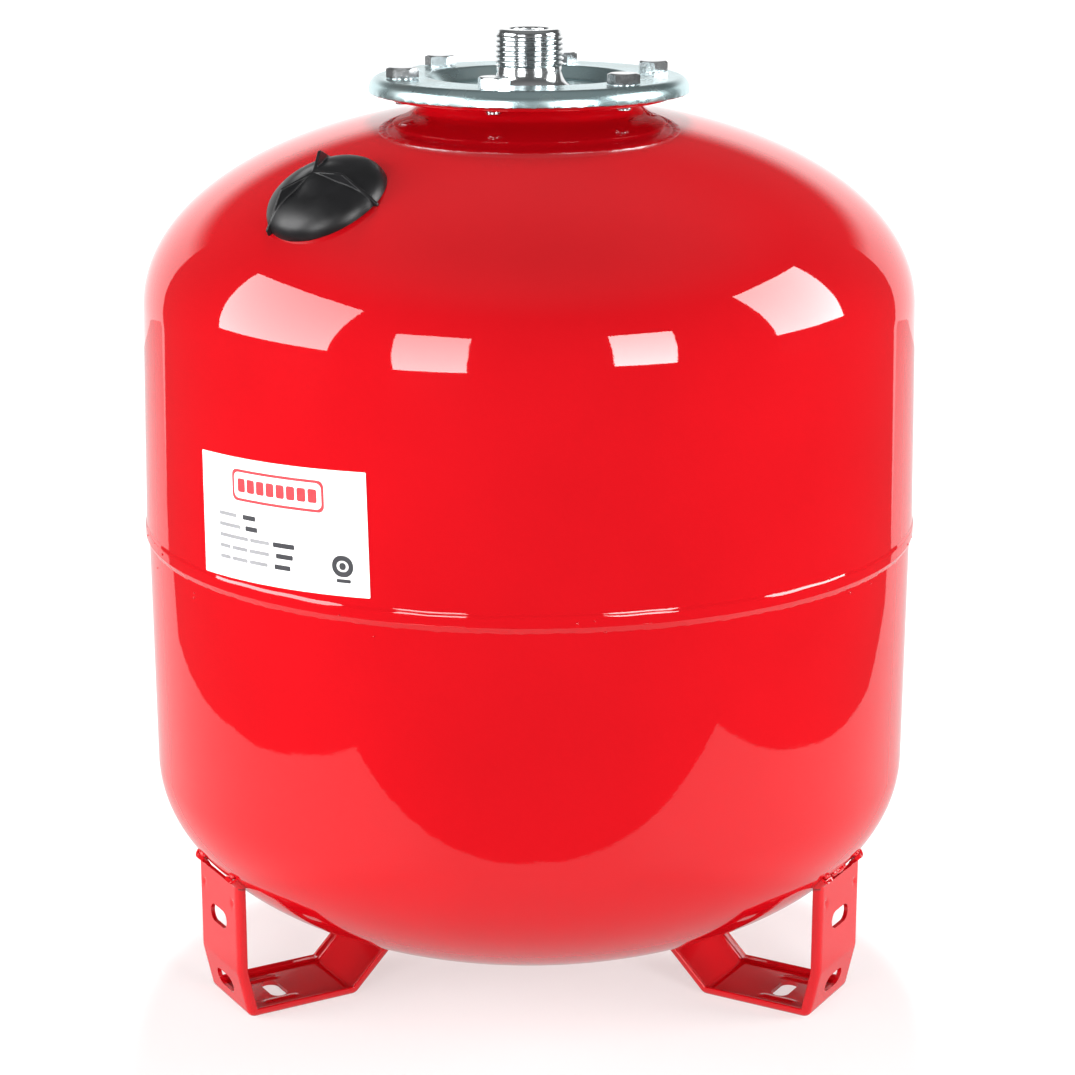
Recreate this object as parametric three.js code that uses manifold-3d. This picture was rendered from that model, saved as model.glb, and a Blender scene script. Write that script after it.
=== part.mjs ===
// Expansion vessel of 35 litres for a heating system, standing on three pressed steel feet.
//
// A steel tank of two drawn shells holds a rubber membrane. The membrane hangs from the neck at
// the top, where a bolted counter flange with a threaded nipple clamps its lip. An air valve for
// the precharge sits on the shoulder under a plastic cover.
//
// Frame: millimetres, +Z up. The origin is on the tank's axis, on the floor under the feet.
// Azimuths are in degrees from the front (-Y) towards the right (+X). A turned outline is a list
// of [radius, z] points that runs anticlockwise, so that its faces point outwards.

import * as THREE from 'three';
import { mergeVertices } from 'three/addons/utils/BufferGeometryUtils.js';
import Module from 'manifold-3d';

const wasm = await Module();
wasm.setup();

const { degToRad } = THREE.MathUtils;

// ---------------------------------------------------------------------------
// Driving dimensions
// ---------------------------------------------------------------------------

const FIT_GAP = 0.3;      // free space between two pieces that touch
const CUT_MARGIN = 5;     // how far a cutting tool runs past the piece it cuts
const TOOL_DEPTH = 20;    // of a tool that cuts through a sheet or a bend
const DOME_STEPS = 7;     // facets along a dome's outline

const TANK = {
  sides: 48,
  wall: 1.3,
  seamZ: 215,             // lower edge of the upper shell
  mouthRadius: 183.6,     // outside of the upper shell's widened mouth
  mouthTopZ: 222,
  joggleTopZ: 227.5,      // the wall is back at its own radius here
  joggleRadius: 182.4,
  spigotRadius: 181.95,   // outside of the lower shell where it enters the mouth
  spigotTopZ: 221.5,
};

// Each dome is a superellipse: (r / radius)^power + (height / domeHeight)^power = 1.
const UPPER_DOME = { baseZ: 323.3, radius: 180.9, height: 93.5, power: 2.04, up: 1 };
const LOWER_DOME = { baseZ: 105, radius: 181.3, height: 90, power: 2.1, up: -1 };

const NECK = {
  radius: 51,
  topZ: 421.3,
  filletRadius: 7.5,
  filletSlope: degToRad(10.8),  // slope of the dome where the fillet meets it
};

const WELD = { legLength: 1.35, legHeight: 2.3, steps: 3 };

const RING = {              // tapped flange ring round the neck
  innerRadius: 51.5,
  outerRadius: 66,
  bottomZ: 418.4,
  topZ: 424.3,
  seatRadius: 55.6,         // recess that holds the membrane's lip
  seatZ: 421.6,
};

const BOLTS = {             // M8 x 12, strength class 8.8
  count: 6,
  circleRadius: 60,
  firstAzimuth: 45,
  shankRadius: 3.9,
  length: 12,
  headHeight: 5.3,
  acrossFlats: 13,
  sides: 16,
  tipChamfer: 1,
  clearanceRadius: 4.5,     // hole in the counter flange
  tappedRadius: 4.25,       // hole in the ring
};

const FLANGE = {            // pressed counter flange
  topZ: 427,
  sheet: 2.4,
  outerRadius: 74.3,
  rimBottomZ: 420.9,
  rimRadius: 5.6,           // outside radius of the turned-down rim
  dishTopRadius: 46,
  dishFloorRadius: 42.5,
  dishFloorZ: 422.6,
  boreRadius: 13.4,
};

const NIPPLE = {            // G 1 male thread, drawn here at its major diameter
  threadRadius: 16.6,
  rootRadius: 15.4,
  topZ: 449.5,
  threadBottomZ: 432.5,
  chamfer: 1.2,
  boreRadius: 9,
  spigotRadius: 13,
  spigotBottomZ: 417.5,
  footRadius: 21.5,
  flareTopZ: 430,           // the foot flares out below this height
  sides: 32,
};

const MEMBRANE = {
  wall: 1.7,
  lipOuterRadius: 55.2,
  lipBottomZ: 421.9,
  lipTopZ: 424.3,
  neckRadius: 49.3,
  neckBottomZ: 409,
  bellyRadius: 112,
  bellyZ: 290,
  bottomZ: 150,
  shoulderPull: 72,         // length of the shoulder curve's handles
  sides: 24,
  steps: 5,                 // facets along the bottom and along the shoulder
};

const VALVE = {
  azimuth: -40.3,
  domeRadius: 135.3,        // distance of the valve's foot from the tank's axis
  sides: 20,
  holeRadius: 5.3,          // hole in the upper shell
  shankRadius: 4.9,
  collarRadius: 8.5,
  collarHeight: 2,
  stemRadius: 3.9,
  stemTop: 8,
  bodyBottom: -13,
  bodyBore: 2.3,
  coreRadius: 2,
  coreTop: 7.2,
  coreBottom: -9,
  coreBore: 0.95,
  pinRadius: 0.6,
  pinTop: 7.4,
  pinBottom: -11,
  pinSides: 12,
};

const COVER = {             // heights are from the plane of the cover's rim
  sides: 28,
  steps: 6,                 // facets along the dome's outline
  rimBelowFoot: 2.76,       // the rim's plane lies this far under the valve's foot
  rimRadius: 27.8,
  height: 13.6,
  power: 2.3,
  wall: 1.5,
  socketInner: 4.4,
  socketOuter: 5.9,
  socketBottom: 5.6,
  finHeight: 16.7,
  finElbowRadius: 16.4,
  finTipRadius: 29.8,
  finTabHeight: 2.4,
  finThickness: 1.8,
  finTurn: degToRad(-28.5), // of the first fin, from the downhill direction
};

const FOOT = {
  azimuths: { left: -60, right: 60, rear: 180 },
  width: 45,
  sheet: 2,
  legRadius: 168.4,         // outer face of the outer leg
  legTopZ: 78,              // before the tank trims it
  kneeZ: 23.5,
  baseOuterRadius: 163.4,
  baseInnerRadius: 108.2,   // where the middles of the base and the inner leg cross
  innerLegRise: 32,
  kneeBend: 12,             // bend radii of the sheet's middle
  outerBend: 3,
  innerBend: 4,
  earWidth: 8,
  earTaper: 3.5,            // each ear stands in from the leg's edge by this much
  shoulderZ: 62,            // top of the leg between and beside its ears
  slotLength: 18,
  slotWidth: 8.6,
  baseSlotRadius: 141,
  legSlotZ: 45,
  lowSlotZ: 9,
};

const LABEL = {
  azimuth: -37.25,
  width: 95,
  height: 55,
  centreZ: 251,
  turn: degToRad(1.2),
  thickness: 0.25,
};

// ---------------------------------------------------------------------------
// Materials
// ---------------------------------------------------------------------------

function material(color, roughness, metalness) {
  return new THREE.MeshStandardMaterial({ color, roughness, metalness });
}

const redPaint = () => material('#d5141d', 0.16, 0.1);
const zincPlate = () => material('#b9c8cc', 0.28, 1);
const brass = () => material('#b8923f', 0.35, 1);
const blackPlastic = () => material('#161718', 0.5, 0);
const butylRubber = () => material('#1d1c1b', 0.8, 0);
const whiteFilm = () => material('#f4f4f1', 0.4, 0);

// ---------------------------------------------------------------------------
// Solids
// ---------------------------------------------------------------------------

/** A solid turned about the Z axis. */
function turned(outline, sides) {
  const points = outline.map(([radius, z]) => new THREE.Vector2(radius, z));
  return new THREE.LatheGeometry(points, sides).rotateX(Math.PI / 2);
}

/** The same, for an outline that closes on itself away from the axis. */
function turnedRing(outline, sides) {
  return turned([...outline, outline[0]], sides);
}

/** Turns a geometry into a solid that can be joined and cut. */
function solidOf(geometry) {
  const bare = geometry.clone();
  bare.deleteAttribute('normal');
  bare.deleteAttribute('uv');
  const merged = mergeVertices(bare, 1e-4);
  const index = merged.index.array;
  const triVerts = [];
  for (let i = 0; i < index.length; i += 3) {
    const [a, b, c] = index.slice(i, i + 3);
    if (a !== b && b !== c && c !== a) {
      triVerts.push(a, b, c);
    }
  }
  return new wasm.Manifold(new wasm.Mesh({
    numProp: 3,
    vertProperties: new Float32Array(merged.attributes.position.array),
    triVerts: new Uint32Array(triVerts),
  }));
}

/** Turns a solid back into a geometry. */
function geometryOf(solid) {
  const mesh = solid.getMesh();
  const geometry = new THREE.BufferGeometry();
  geometry.setAttribute('position', new THREE.BufferAttribute(mesh.vertProperties, 3));
  geometry.setIndex(new THREE.BufferAttribute(mesh.triVerts, 1));
  geometry.computeVertexNormals();
  return geometry;
}

/** Cuts every tool from a geometry. */
function cut(geometry, tools) {
  return geometryOf(tools.reduce((solid, tool) => solid.subtract(solidOf(tool)), solidOf(geometry)));
}

/** Joins geometries that overlap. */
function join(geometries) {
  return geometryOf(geometries.map(solidOf).reduce((whole, solid) => whole.add(solid)));
}

/** An upright rod between two heights. */
function rod(radius, bottomZ, topZ, sides) {
  return turned([[0, bottomZ], [radius, bottomZ], [radius, topZ], [0, topZ]], sides);
}

/** An upright tube between two heights. */
function tube(innerRadius, outerRadius, bottomZ, topZ, sides) {
  return turnedRing([
    [innerRadius, bottomZ], [outerRadius, bottomZ], [outerRadius, topZ], [innerRadius, topZ],
  ], sides);
}

/**
 * Points of an arc between two angles, in degrees from the +radius direction. It is part of a
 * circle, or of an ellipse if its half height differs from its half width.
 */
function arc(centre, halfWidth, fromDeg, toDeg, steps, halfHeight = halfWidth) {
  const points = [];
  for (let i = 0; i <= steps; i += 1) {
    const angle = degToRad(fromDeg + (toDeg - fromDeg) * i / steps);
    points.push([
      centre[0] + halfWidth * Math.cos(angle),
      centre[1] + halfHeight * Math.sin(angle),
    ]);
  }
  return points;
}

/** Outline of a dome from its base to the given radius, drawn in from its outside by inset. */
function domeOutline(dome, inset, endRadius, steps) {
  const radius = dome.radius - inset;
  const height = dome.height - inset;
  const endAngle = Math.acos((endRadius / radius) ** (dome.power / 2));
  const points = [];
  for (let i = 0; i <= steps; i += 1) {
    const angle = endAngle * i / steps;
    const r = i === steps ? endRadius : radius * Math.cos(angle) ** (2 / dome.power);
    points.push([r, dome.baseZ + dome.up * height * Math.sin(angle) ** (2 / dome.power)]);
  }
  return points;
}

/** Height of a dome's surface above its base, at a distance from the axis. */
function domeRise({ height, power, radius }, r) {
  return height * (1 - (r / radius) ** power) ** (1 / power);
}

/** Slope of a dome's surface from the horizontal, as an angle, at a distance from the axis. */
function domeSlope(dome, r) {
  const { height, power, radius } = dome;
  const across = (r / radius) ** (power - 1) / radius;
  const upward = (domeRise(dome, r) / height) ** (power - 1) / height;
  return Math.atan(across / upward);
}

// ---------------------------------------------------------------------------
// Tank
// ---------------------------------------------------------------------------

/** Outside or, with an inset, inside of the upper shell, from its mouth up to the neck's top. */
function upperShellSide(inset) {
  const { filletRadius, filletSlope, radius, topZ } = NECK;
  const bendRadius = filletRadius + inset;
  const centreRadius = radius + filletRadius;
  const endRadius = centreRadius - bendRadius * Math.sin(filletSlope);
  const domeSide = domeOutline(UPPER_DOME, inset, endRadius, DOME_STEPS);
  const centreZ = domeSide.at(-1)[1] + bendRadius * Math.cos(filletSlope);
  const slopeDeg = THREE.MathUtils.radToDeg(filletSlope);
  return [
    [TANK.mouthRadius - inset, TANK.seamZ],
    [TANK.mouthRadius - inset, TANK.mouthTopZ],
    [TANK.joggleRadius - inset, TANK.joggleTopZ],
    ...domeSide,
    ...arc([centreRadius, centreZ], bendRadius, 270 - slopeDeg, 180, 3).slice(1),
    [radius - inset, topZ],
  ];
}

function upperShell() {
  const outline = [...upperShellSide(0), ...upperShellSide(TANK.wall).reverse()];
  const hole = onValveAxis(rod(VALVE.holeRadius, -CUT_MARGIN, CUT_MARGIN, VALVE.sides));
  return cut(turnedRing(outline, TANK.sides), [hole]);
}

function lowerShellSide(inset) {
  return [
    ...domeOutline(LOWER_DOME, inset, 0, DOME_STEPS).reverse(),
    [TANK.spigotRadius - inset, TANK.seamZ],
    [TANK.spigotRadius - inset, TANK.spigotTopZ],
  ];
}

function lowerShell() {
  return turned([...lowerShellSide(0), ...lowerShellSide(TANK.wall).reverse()], TANK.sides);
}

/** Fillet weld in the corner under the upper shell's edge. */
function seamWeld() {
  const innerRadius = TANK.spigotRadius + FIT_GAP;
  const topZ = TANK.seamZ - FIT_GAP;
  return turnedRing([
    ...arc([innerRadius, topZ], WELD.legLength, -90, 0, WELD.steps, WELD.legHeight),
    [innerRadius, topZ],
  ], TANK.sides);
}

/** The upper shell as one closed body, grown by the fit gap. It trims the valve's cover. */
function upperEnvelope() {
  return turned([[0, TANK.seamZ], ...upperShellSide(-FIT_GAP), [0, NECK.topZ]], TANK.sides);
}

/** The same for the lower shell. It trims the feet. */
function lowerEnvelope() {
  return turned([...lowerShellSide(-FIT_GAP), [0, TANK.spigotTopZ]], TANK.sides);
}

// ---------------------------------------------------------------------------
// Neck, counter flange and bolts
// ---------------------------------------------------------------------------

function boltAzimuth(number) {
  return BOLTS.firstAzimuth + 360 / BOLTS.count * number;
}

/** The point at a radius and azimuth, at the given height. */
function pointAt(radius, azimuth, z) {
  const angle = degToRad(azimuth);
  return new THREE.Vector3(radius * Math.sin(angle), -radius * Math.cos(angle), z);
}

/** Rods that drill the bolt circle. */
function boltDrills(radius, bottomZ, topZ) {
  return Array.from({ length: BOLTS.count }, (_, number) => {
    const place = pointAt(BOLTS.circleRadius, boltAzimuth(number), 0);
    return rod(radius, bottomZ, topZ, BOLTS.sides).translate(place.x, place.y, 0);
  });
}

function neckRing() {
  const ring = turnedRing([
    [RING.innerRadius, RING.bottomZ],
    [RING.outerRadius, RING.bottomZ],
    [RING.outerRadius, RING.topZ],
    [RING.seatRadius, RING.topZ],
    [RING.seatRadius, RING.seatZ],
    [RING.innerRadius, RING.seatZ],
  ], TANK.sides);
  return cut(ring, boltDrills(BOLTS.tappedRadius, RING.bottomZ - CUT_MARGIN, RING.topZ + CUT_MARGIN));
}

function counterFlange() {
  const undersideZ = FLANGE.topZ - FLANGE.sheet;
  const dishAngle = Math.atan2(
    FLANGE.topZ - FLANGE.dishFloorZ,
    FLANGE.dishTopRadius - FLANGE.dishFloorRadius,
  );
  const mitre = FLANGE.sheet * Math.tan(dishAngle / 2);
  const rimCentre = [FLANGE.outerRadius - FLANGE.rimRadius, FLANGE.topZ - FLANGE.rimRadius];
  const plate = turnedRing([
    [FLANGE.boreRadius, FLANGE.dishFloorZ - FLANGE.sheet],
    [FLANGE.dishFloorRadius + mitre, FLANGE.dishFloorZ - FLANGE.sheet],
    [FLANGE.dishTopRadius + mitre, undersideZ],
    ...arc(rimCentre, FLANGE.rimRadius - FLANGE.sheet, 90, 0, 2),
    [FLANGE.outerRadius - FLANGE.sheet, FLANGE.rimBottomZ],
    [FLANGE.outerRadius, FLANGE.rimBottomZ],
    ...arc(rimCentre, FLANGE.rimRadius, 0, 90, 3),
    [FLANGE.dishTopRadius, FLANGE.topZ],
    [FLANGE.dishFloorRadius, FLANGE.dishFloorZ],
    [FLANGE.boreRadius, FLANGE.dishFloorZ],
  ], TANK.sides);
  return cut(plate, boltDrills(BOLTS.clearanceRadius, FLANGE.rimBottomZ, FLANGE.topZ + CUT_MARGIN));
}

function connectionNipple() {
  const footZ = FLANGE.dishFloorZ + FIT_GAP;
  const flareWidth = NIPPLE.footRadius - NIPPLE.rootRadius;
  const flareHeight = NIPPLE.flareTopZ - footZ;
  return turnedRing([
    [NIPPLE.boreRadius, NIPPLE.spigotBottomZ],
    [NIPPLE.spigotRadius, NIPPLE.spigotBottomZ],
    [NIPPLE.spigotRadius, footZ],
    ...arc([NIPPLE.footRadius, NIPPLE.flareTopZ], flareWidth, 270, 180, 3, flareHeight),
    [NIPPLE.rootRadius, NIPPLE.threadBottomZ],
    [NIPPLE.threadRadius, NIPPLE.threadBottomZ + NIPPLE.chamfer],
    [NIPPLE.threadRadius, NIPPLE.topZ - NIPPLE.chamfer],
    [NIPPLE.threadRadius - NIPPLE.chamfer, NIPPLE.topZ],
    [NIPPLE.boreRadius, NIPPLE.topZ],
  ], NIPPLE.sides);
}

/** A hexagon bolt with its seat at z = 0 and its shank below. */
function hexagonBolt() {
  const cornerRadius = BOLTS.acrossFlats / 2 / Math.cos(Math.PI / 6);
  const hexagon = new THREE.Shape(Array.from({ length: 6 }, (_, corner) => {
    const angle = degToRad(60 * corner);
    return new THREE.Vector2(cornerRadius * Math.cos(angle), cornerRadius * Math.sin(angle));
  }));
  const head = new THREE.ExtrudeGeometry(hexagon, { depth: BOLTS.headHeight, bevelEnabled: false });
  const shank = turned([
    [0, -BOLTS.length],
    [BOLTS.shankRadius - BOLTS.tipChamfer, -BOLTS.length],
    [BOLTS.shankRadius, BOLTS.tipChamfer - BOLTS.length],
    [BOLTS.shankRadius, BOLTS.headHeight / 2],
    [0, BOLTS.headHeight / 2],
  ], BOLTS.sides);
  return join([head, shank]);
}

// ---------------------------------------------------------------------------
// Membrane
// ---------------------------------------------------------------------------

/** Side of the hanging bag, from its bottom up to its neck. */
function bagSide(inset) {
  const bellyRadius = MEMBRANE.bellyRadius - inset;
  const neckRadius = MEMBRANE.neckRadius - inset;
  const depth = MEMBRANE.bellyZ - MEMBRANE.bottomZ - inset;
  const bottom = [];
  for (let i = 0; i < MEMBRANE.steps; i += 1) {
    const angle = Math.PI / 2 * i / MEMBRANE.steps;
    bottom.push([bellyRadius * Math.sin(angle), MEMBRANE.bellyZ - depth * Math.cos(angle)]);
  }
  const shoulder = new THREE.CubicBezierCurve(
    new THREE.Vector2(bellyRadius, MEMBRANE.bellyZ),
    new THREE.Vector2(bellyRadius, MEMBRANE.bellyZ + MEMBRANE.shoulderPull),
    new THREE.Vector2(neckRadius, MEMBRANE.neckBottomZ - MEMBRANE.shoulderPull),
    new THREE.Vector2(neckRadius, MEMBRANE.neckBottomZ),
  );
  return [...bottom, ...shoulder.getPoints(MEMBRANE.steps).map(({ x, y }) => [x, y])];
}

function membrane() {
  const { lipBottomZ, lipOuterRadius, lipTopZ, neckRadius, sides, wall } = MEMBRANE;
  return turned([
    ...bagSide(0),
    [neckRadius, lipBottomZ],
    [lipOuterRadius, lipBottomZ],
    [lipOuterRadius, lipTopZ],
    [neckRadius - wall, lipTopZ],
    ...bagSide(wall).reverse(),
  ], sides);
}

// ---------------------------------------------------------------------------
// Air valve and its cover
// ---------------------------------------------------------------------------

/** Stands a geometry made about the Z axis on the dome, with z = 0 at the valve's foot. */
function onValveAxis(geometry) {
  const footZ = UPPER_DOME.baseZ + domeRise(UPPER_DOME, VALVE.domeRadius);
  const foot = pointAt(VALVE.domeRadius, VALVE.azimuth, footZ);
  return geometry
    .rotateX(domeSlope(UPPER_DOME, VALVE.domeRadius))
    .rotateZ(degToRad(VALVE.azimuth))
    .translate(foot.x, foot.y, foot.z);
}

function valveBody() {
  return turnedRing([
    [VALVE.bodyBore, VALVE.bodyBottom],
    [VALVE.shankRadius, VALVE.bodyBottom],
    [VALVE.shankRadius, FIT_GAP],
    [VALVE.collarRadius, FIT_GAP],
    [VALVE.collarRadius, FIT_GAP + VALVE.collarHeight],
    [VALVE.stemRadius, FIT_GAP + VALVE.collarHeight],
    [VALVE.stemRadius, VALVE.stemTop],
    [VALVE.bodyBore, VALVE.stemTop],
  ], VALVE.sides);
}

function coverBody() {
  const outside = { baseZ: 0, radius: COVER.rimRadius, height: COVER.height, power: COVER.power, up: 1 };
  const dome = turned([[0, 0], ...domeOutline(outside, 0, 0, COVER.steps)], COVER.sides);
  const hollow = turned([
    [0, -CUT_MARGIN],
    [COVER.rimRadius - COVER.wall, -CUT_MARGIN],
    ...domeOutline(outside, COVER.wall, 0, COVER.steps),
  ], COVER.sides);
  return { dome, hollow };
}

/** One of the three grip fins: level out to its elbow, then down to a tab at the rim. */
function coverFin(turn) {
  const outline = new THREE.Shape([
    new THREE.Vector2(0, 0),
    new THREE.Vector2(COVER.finTipRadius, 0),
    new THREE.Vector2(COVER.finTipRadius, COVER.finTabHeight),
    new THREE.Vector2(COVER.finElbowRadius, COVER.finHeight),
    new THREE.Vector2(0, COVER.finHeight),
  ]);
  const { finThickness } = COVER;
  return new THREE.ExtrudeGeometry(outline, { depth: finThickness, bevelEnabled: false })
    .translate(0, 0, -finThickness / 2)
    .rotateX(Math.PI / 2)
    .rotateZ(turn);
}

function valveCover() {
  const { dome, hollow } = coverBody();
  const firstTurn = COVER.finTurn - Math.PI / 2;
  const fins = [0, 1, 2].map((number) => coverFin(firstTurn + number * Math.PI * 2 / 3));
  const cap = cut(join([dome, ...fins]), [hollow]);
  const socket = tube(
    COVER.socketInner,
    COVER.socketOuter,
    COVER.socketBottom,
    COVER.height - COVER.wall / 2,
    VALVE.sides,
  );
  const cover = onValveAxis(join([cap, socket]).translate(0, 0, -COVER.rimBelowFoot));
  return cut(cover, [upperEnvelope()]);
}

// ---------------------------------------------------------------------------
// Feet
// ---------------------------------------------------------------------------

/** Rounds the inner corners of a path, each with its own bend radius. */
function bentPath(corners, bends, steps) {
  const points = [corners[0]];
  for (let i = 1; i < corners.length - 1; i += 1) {
    const corner = corners[i];
    const back = corners[i - 1].clone().sub(corner).normalize();
    const ahead = corners[i + 1].clone().sub(corner).normalize();
    const halfAngle = Math.acos(back.dot(ahead)) / 2;
    const bend = bends[i - 1];
    const reach = bend / Math.tan(halfAngle);
    const start = corner.clone().addScaledVector(back, reach);
    const end = corner.clone().addScaledVector(ahead, reach);
    const middle = back.clone().add(ahead).normalize();
    const centre = corner.clone().addScaledVector(middle, bend / Math.sin(halfAngle));
    for (let step = 0; step <= steps; step += 1) {
      const direction = start.clone().lerp(end, step / steps).sub(centre).normalize();
      points.push(centre.clone().addScaledVector(direction, bend));
    }
  }
  points.push(corners.at(-1));
  return points;
}

/** The closed outline of a sheet of the given thickness whose middle follows a path. */
function sheetOutline(path, thickness) {
  const sides = [[], []];
  path.forEach((point, i) => {
    const before = path[Math.max(i - 1, 0)];
    const after = path[Math.min(i + 1, path.length - 1)];
    const along = after.clone().sub(before).normalize();
    const across = new THREE.Vector2(-along.y, along.x).multiplyScalar(thickness / 2);
    sides[0].push(point.clone().add(across));
    sides[1].push(point.clone().sub(across));
  });
  return new THREE.Shape([...sides[1], ...sides[0].reverse()]);
}

/** A bar with round ends along X that cuts a slot, centred on the origin. */
function slotTool() {
  const half = (FOOT.slotLength - FOOT.slotWidth) / 2;
  const outline = new THREE.Shape();
  outline.absarc(half, 0, FOOT.slotWidth / 2, -Math.PI / 2, Math.PI / 2);
  outline.absarc(-half, 0, FOOT.slotWidth / 2, Math.PI / 2, Math.PI * 1.5);
  const shape = { depth: TOOL_DEPTH, bevelEnabled: false, curveSegments: 6 };
  return new THREE.ExtrudeGeometry(outline, shape).translate(0, 0, -TOOL_DEPTH / 2);
}

/** Boxes that take away the leg's top on both sides of its two ears and between them. */
function earGaps() {
  const height = FOOT.legTopZ + CUT_MARGIN - FOOT.shoulderZ;
  const earEdge = FOOT.width / 2 - FOOT.earTaper;
  const between = 2 * (earEdge - FOOT.earWidth);
  const y = -FOOT.legRadius;
  const z = FOOT.shoulderZ + height / 2;
  const middle = new THREE.BoxGeometry(between, TOOL_DEPTH, height).translate(0, y, z);
  const beside = [-1, 1].map((side) => {
    const centreX = side * (earEdge + CUT_MARGIN);
    return new THREE.BoxGeometry(2 * CUT_MARGIN, TOOL_DEPTH, height).translate(centreX, y, z);
  });
  return [middle, ...beside];
}

/** A foot at azimuth 0: a strip bent into an outer leg, a base and a slanting inner leg. */
function foot() {
  const middle = FOOT.sheet / 2;
  const corners = [
    new THREE.Vector2(FOOT.legRadius - middle, FOOT.legTopZ),
    new THREE.Vector2(FOOT.legRadius - middle, FOOT.kneeZ),
    new THREE.Vector2(FOOT.baseOuterRadius - middle, middle),
    new THREE.Vector2(FOOT.baseInnerRadius, middle),
    new THREE.Vector2(FOOT.baseInnerRadius - FOOT.innerLegRise, middle + FOOT.innerLegRise),
  ];
  const path = bentPath(corners, [FOOT.kneeBend, FOOT.outerBend, FOOT.innerBend], 3);
  const strip = new THREE.ExtrudeGeometry(sheetOutline(path, FOOT.sheet), {
    depth: FOOT.width,
    bevelEnabled: false,
  });
  const standUp = new THREE.Matrix4().makeBasis(
    new THREE.Vector3(0, -1, 0),
    new THREE.Vector3(0, 0, 1),
    new THREE.Vector3(-1, 0, 0),
  );
  strip.applyMatrix4(standUp).translate(FOOT.width / 2, 0, 0);
  const baseSlot = slotTool().translate(0, -FOOT.baseSlotRadius, 0);
  const legSlots = [FOOT.legSlotZ, FOOT.lowSlotZ].map((z) => (
    slotTool().rotateX(Math.PI / 2).translate(0, -FOOT.legRadius, z)
  ));
  return cut(strip, [baseSlot, ...legSlots, ...earGaps(), lowerEnvelope()]);
}

// ---------------------------------------------------------------------------
// Label
// ---------------------------------------------------------------------------

/** A film on the upper shell: a thin skin over the mouth, the joggle and the wall, cut to size. */
function label() {
  const inner = upperShellSide(-FIT_GAP).slice(0, 4);
  const outer = upperShellSide(-FIT_GAP - LABEL.thickness).slice(0, 4);
  const skin = turnedRing([...outer, ...inner.reverse()], TANK.sides);
  const centre = pointAt(TANK.joggleRadius, LABEL.azimuth, LABEL.centreZ);
  const block = new THREE.BoxGeometry(LABEL.width, 2 * TOOL_DEPTH, LABEL.height)
    .rotateY(-LABEL.turn)
    .rotateZ(degToRad(LABEL.azimuth))
    .translate(centre.x, centre.y, centre.z);
  return geometryOf(solidOf(skin).intersect(solidOf(block)));
}

// ---------------------------------------------------------------------------
// Assembly
// ---------------------------------------------------------------------------

const group = new THREE.Group();

function addPiece(name, geometry, look) {
  const mesh = new THREE.Mesh(geometry, look);
  mesh.name = name;
  group.add(mesh);
  return mesh;
}

addPiece('upper_shell', upperShell(), redPaint());
addPiece('lower_shell', lowerShell(), redPaint());
addPiece('seam_weld', seamWeld(), redPaint());
addPiece('neck_ring', neckRing(), redPaint());
addPiece('membrane', membrane(), butylRubber());
addPiece('counter_flange', counterFlange(), zincPlate());
addPiece('connection_nipple', connectionNipple(), zincPlate());

for (let number = 0; number < BOLTS.count; number += 1) {
  const bolt = addPiece(`flange_bolt_${number + 1}`, hexagonBolt(), zincPlate());
  bolt.position.copy(pointAt(BOLTS.circleRadius, boltAzimuth(number), FLANGE.topZ + FIT_GAP));
  bolt.rotation.z = degToRad(boltAzimuth(number));
}

addPiece('valve_body', onValveAxis(valveBody()), zincPlate());
const core = tube(VALVE.coreBore, VALVE.coreRadius, VALVE.coreBottom, VALVE.coreTop, VALVE.sides);
addPiece('valve_core', onValveAxis(core), brass());
const pin = rod(VALVE.pinRadius, VALVE.pinBottom, VALVE.pinTop, VALVE.pinSides);
addPiece('valve_pin', onValveAxis(pin), brass());
addPiece('valve_cover', valveCover(), blackPlastic());

for (const [place, azimuth] of Object.entries(FOOT.azimuths)) {
  const piece = addPiece(`foot_${place}`, foot(), redPaint());
  piece.rotation.z = degToRad(azimuth);
}

addPiece('label', label(), whiteFilm());

export default group;
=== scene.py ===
"""Expansion vessel: the detailed visual model, its materials, a studio and a camera.

Shapes are worked out in millimetres in the frame's axes: +Z up, -Y to the front, origin on the
floor under the tank. add_solid() turns them into metres. Azimuths run from the front (-Y) towards
the right (+X). An outline is a list of (radius, z) points that runs anticlockwise, so that its
faces point outwards. A corner may carry a third value, the radius that rounds it.
"""

import math

import bmesh
import bpy
import numpy as np
from mathutils import Matrix, Vector, noise


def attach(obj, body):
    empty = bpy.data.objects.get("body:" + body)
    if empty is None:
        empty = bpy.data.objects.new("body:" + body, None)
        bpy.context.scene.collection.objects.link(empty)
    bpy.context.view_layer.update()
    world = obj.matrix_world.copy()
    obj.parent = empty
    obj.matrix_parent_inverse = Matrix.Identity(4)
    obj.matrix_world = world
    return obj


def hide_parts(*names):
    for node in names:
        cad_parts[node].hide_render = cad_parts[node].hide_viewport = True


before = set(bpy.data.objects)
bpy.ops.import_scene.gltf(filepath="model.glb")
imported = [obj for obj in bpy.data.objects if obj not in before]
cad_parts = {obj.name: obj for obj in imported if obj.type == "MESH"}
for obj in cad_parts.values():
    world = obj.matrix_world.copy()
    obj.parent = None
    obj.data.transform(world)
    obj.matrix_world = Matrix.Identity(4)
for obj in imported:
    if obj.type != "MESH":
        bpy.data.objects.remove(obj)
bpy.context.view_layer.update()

MM = 0.001
TAU = 2 * math.pi

# --- Driving dimensions ---

SHELL_SIDES = 384
WALL = 1.3

MOUTH_RADIUS = 183.5
MOUTH_Z = 216.4
SEAM_Z = 215
JOGGLE_Z = (220.3, 222.3)       # the wall steps in between these heights
JOGGLE_RADIUS = 182.9
SPIGOT_RADIUS = 181.95
SPIGOT_TOP_Z = 221.5

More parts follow.
